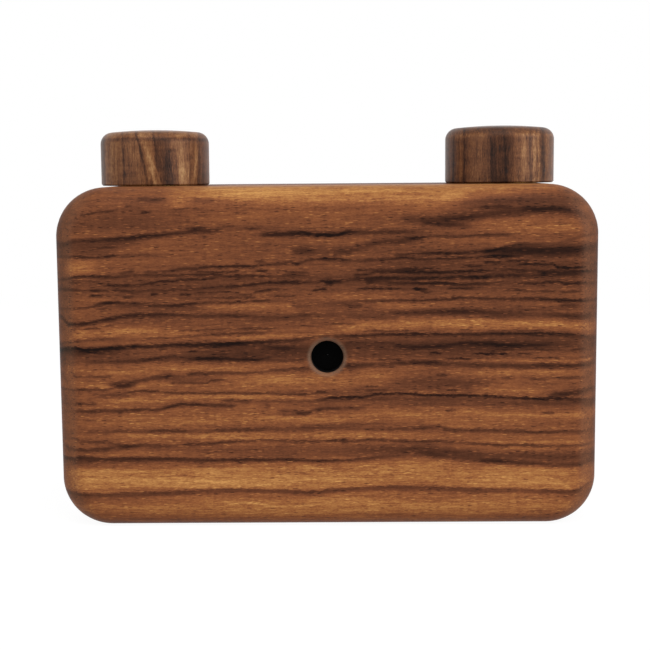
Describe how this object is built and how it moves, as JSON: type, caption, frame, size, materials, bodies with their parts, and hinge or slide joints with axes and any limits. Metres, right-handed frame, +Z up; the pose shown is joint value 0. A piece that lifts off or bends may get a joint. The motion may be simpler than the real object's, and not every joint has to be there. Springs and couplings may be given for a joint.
{
  "type": "pinhole camera",
  "caption": "Wooden pinhole camera for 35 mm film: rounded walnut body with a round front hole, two turned knobs on top, sliding shutter and lift-off magnetic back.",
  "frame": {"origin": "middle of the underside, at the bottom centre of the bounding box", "axes": "+X to the right seen from the front, +Y from the front face to the back, +Z up"},
  "size_m": [0.105, 0.046, 0.0782],
  "materials": {
    "walnut_body": "oiled walnut with dark streaks, satin",
    "walnut_knobs": "turned walnut, oiled, satin",
    "beech_dowels": "plain beech, unfinished",
    "black_metal": "black anodised, matt",
    "black_plastic": "matt black",
    "brass": "turned brass, satin",
    "steel": "turned stainless steel",
    "magnet_nickel": "nickel plated"
  },
  "bodies": {
    "camera_body": {"front_board": "walnut_body", "body_block": "walnut_body", "locating_dowels": "beech_dowels", "pinhole_disc": "black_metal", "pinhole_ring": "black_metal", "shutter_stop_pin": "steel", "film_gate": "black_metal", "film_gate_screws": "steel", "tripod_bush": "brass", "body_magnets": "magnet_nickel", "wind_bush": "brass", "rewind_bush": "brass", "knob_washers": "brass", "take_up_pivot": "brass", "cassette_seat": "black_plastic"},
    "shutter": {"shutter_blade": "black_metal", "shutter_pull": "brass", "shutter_rivets": "brass"},
    "winder": {"wind_knob": "walnut_knobs", "wind_knob_screw": "steel", "wind_shaft": "steel", "wind_clip": "steel", "take_up_spool": "black_plastic", "spool_pin": "steel"},
    "rewind_lifter": {"rewind_sleeve": "brass"},
    "rewinder": {"rewind_knob": "walnut_knobs", "rewind_knob_screw": "steel", "rewind_shaft": "steel", "rewind_clip": "steel"},
    "back": {"back_cover": "walnut_body", "cover_panel": "black_plastic", "panel_screws": "steel", "cover_magnets": "magnet_nickel", "pressure_spring": "steel", "spring_rivets": "steel"},
    "film_presser": {"pressure_plate": "black_plastic", "plate_guide_pins": "steel"}
  },
  "joints": [
    {"name": "shutter_slide", "type": "slide", "parent": "camera_body", "child": "shutter", "axis": [-1, 0, 0], "range_m": [0, 0.012]},
    {"name": "wind_turn", "type": "hinge", "parent": "camera_body", "child": "winder", "pos_m": [-0.0355, 0.0005, 0.0723], "axis": [0, 0, 1], "continuous": true},
    {"name": "rewind_lift", "type": "slide", "parent": "camera_body", "child": "rewind_lifter", "axis": [0, 0, 1], "range_m": [0, 0.0053]},
    {"name": "rewind_turn", "type": "hinge", "parent": "rewind_lifter", "child": "rewinder", "pos_m": [0.0355, 0.0005, 0.0723], "axis": [0, 0, 1], "continuous": true},
    {"name": "back_pull", "type": "slide", "parent": "camera_body", "child": "back", "axis": [0, 1, 0], "range_m": [0, 0.06]},
    {"name": "plate_press", "type": "slide", "parent": "back", "child": "film_presser", "axis": [0, 1, 0], "range_m": [0, 0.0006], "stiffness_N_per_m": 1500, "springref_m": -0.0004, "deforming": ["pressure_spring"]}
  ]
}
